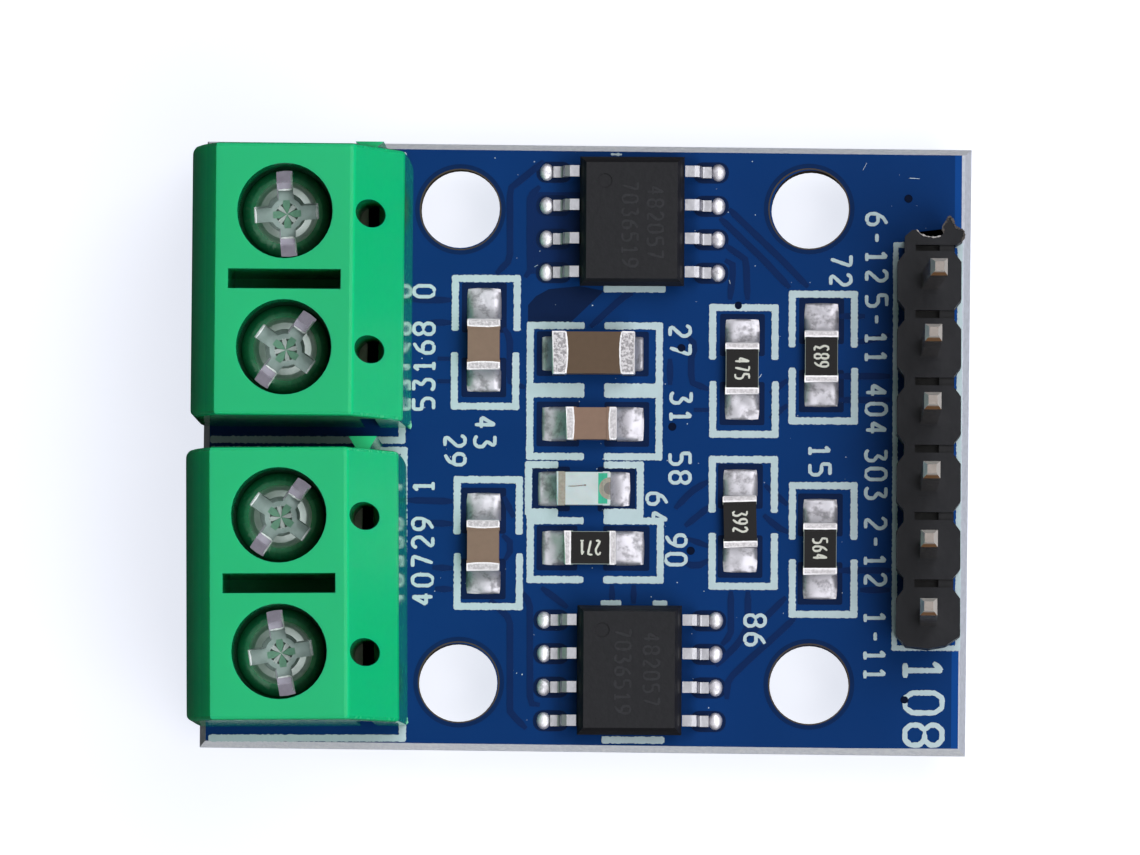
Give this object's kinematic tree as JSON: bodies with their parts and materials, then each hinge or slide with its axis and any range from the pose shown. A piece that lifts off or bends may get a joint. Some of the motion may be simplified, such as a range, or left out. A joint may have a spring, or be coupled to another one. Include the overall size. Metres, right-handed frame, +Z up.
{
  "type": "dc motor driver module",
  "caption": "Small blue circuit board that drives motors, with green screw terminals along one edge and a pin header along the other",
  "frame": {"origin": "centre of the circuit board's underside", "axes": "+X from the screw terminals to the pin header, +Y across the board, +Z up out of the component side"},
  "size_m": [0.0295, 0.0232, 0.0131],
  "materials": {
    "board_mask": "blue solder mask on glass-fibre board, semi-gloss",
    "green_moulding": "bright green moulded polyamide, satin",
    "screw_steel": "bright zinc-plated steel",
    "cage_steel": "plated folded steel",
    "tinned_brass": "tinned brass strip",
    "chip_moulding": "black moulded epoxy, matt",
    "tinned_lead": "tinned lead frame",
    "capacitor_ceramic": "brown ceramic with tinned ends",
    "resistor_black": "black glaze on ceramic with tinned ends",
    "led_lens": "milky clear moulding on a white base",
    "header_moulding": "black moulded thermoplastic, satin",
    "pin_plating": "tin-plated brass pin"
  },
  "bodies": {
    "module": {"circuit_board": "board_mask", "terminal_block_upper": "green_moulding", "terminal_contact_upper_1": "tinned_brass", "terminal_contact_upper_2": "tinned_brass", "driver_chip_upper": "chip_moulding", "chip_lead_upper_left_1": "tinned_lead", "chip_lead_upper_left_2": "tinned_lead", "chip_lead_upper_left_3": "tinned_lead", "chip_lead_upper_left_4": "tinned_lead", "chip_lead_upper_right_1": "tinned_lead", "chip_lead_upper_right_2": "tinned_lead", "chip_lead_upper_right_3": "tinned_lead", "chip_lead_upper_right_4": "tinned_lead", "terminal_block_lower": "green_moulding", "terminal_contact_lower_1": "tinned_brass", "terminal_contact_lower_2": "tinned_brass", "driver_chip_lower": "chip_moulding", "chip_lead_lower_left_1": "tinned_lead", "chip_lead_lower_left_2": "tinned_lead", "chip_lead_lower_left_3": "tinned_lead", "chip_lead_lower_left_4": "tinned_lead", "chip_lead_lower_right_1": "tinned_lead", "chip_lead_lower_right_2": "tinned_lead", "chip_lead_lower_right_3": "tinned_lead", "chip_lead_lower_right_4": "tinned_lead", "capacitor_left_upper": "capacitor_ceramic", "capacitor_left_lower": "capacitor_ceramic", "capacitor_large": "capacitor_ceramic", "capacitor_middle": "capacitor_ceramic", "resistor_led": "resistor_black", "resistor_upper_1": "resistor_black", "resistor_upper_2": "resistor_black", "resistor_lower_1": "resistor_black", "resistor_lower_2": "resistor_black", "indicator_led": "led_lens", "pin_header": "header_moulding", "header_pin_1": "pin_plating", "header_pin_2": "pin_plating", "header_pin_3": "pin_plating", "header_pin_4": "pin_plating", "header_pin_5": "pin_plating", "header_pin_6": "pin_plating"},
    "screw_upper_1": {"clamp_screw_upper_1": "screw_steel"},
    "cage_upper_1": {"clamp_cage_upper_1": "cage_steel"},
    "screw_upper_2": {"clamp_screw_upper_2": "screw_steel"},
    "cage_upper_2": {"clamp_cage_upper_2": "cage_steel"},
    "screw_lower_1": {"clamp_screw_lower_1": "screw_steel"},
    "cage_lower_1": {"clamp_cage_lower_1": "cage_steel"},
    "screw_lower_2": {"clamp_screw_lower_2": "screw_steel"},
    "cage_lower_2": {"clamp_cage_lower_2": "cage_steel"}
  },
  "joints": [
    {"name": "turn_screw_upper_1", "type": "hinge", "parent": "module", "child": "screw_upper_1", "pos_m": [-0.01109, 0.00836, 0.00896], "axis": [0, 0, -1], "range_deg": [0, 1440]},
    {"name": "raise_cage_upper_1", "type": "slide", "parent": "module", "child": "cage_upper_1", "axis": [0, 0, 1], "range_m": [0, 0.0018]},
    {"name": "turn_screw_upper_2", "type": "hinge", "parent": "module", "child": "screw_upper_2", "pos_m": [-0.01111, 0.00328, 0.00896], "axis": [0, 0, -1], "range_deg": [0, 1440]},
    {"name": "raise_cage_upper_2", "type": "slide", "parent": "module", "child": "cage_upper_2", "axis": [0, 0, 1], "range_m": [0, 0.0018]},
    {"name": "turn_screw_lower_1", "type": "hinge", "parent": "module", "child": "screw_lower_1", "pos_m": [-0.01125, -0.00298, 0.00896], "axis": [0, 0, -1], "range_deg": [0, 1440]},
    {"name": "raise_cage_lower_1", "type": "slide", "parent": "module", "child": "cage_lower_1", "axis": [0, 0, 1], "range_m": [0, 0.0018]},
    {"name": "turn_screw_lower_2", "type": "hinge", "parent": "module", "child": "screw_lower_2", "pos_m": [-0.01121, -0.00806, 0.00896], "axis": [0, 0, -1], "range_deg": [0, 1440]},
    {"name": "raise_cage_lower_2", "type": "slide", "parent": "module", "child": "cage_lower_2", "axis": [0, 0, 1], "range_m": [0, 0.0018]}
  ],
  "couplings": [
    {"joint": "turn_screw_upper_1", "follows": "raise_cage_upper_1", "rad_per_m": 13963},
    {"joint": "turn_screw_upper_2", "follows": "raise_cage_upper_2", "rad_per_m": 13963},
    {"joint": "turn_screw_lower_1", "follows": "raise_cage_lower_1", "rad_per_m": 13963},
    {"joint": "turn_screw_lower_2", "follows": "raise_cage_lower_2", "rad_per_m": 13963}
  ]
}
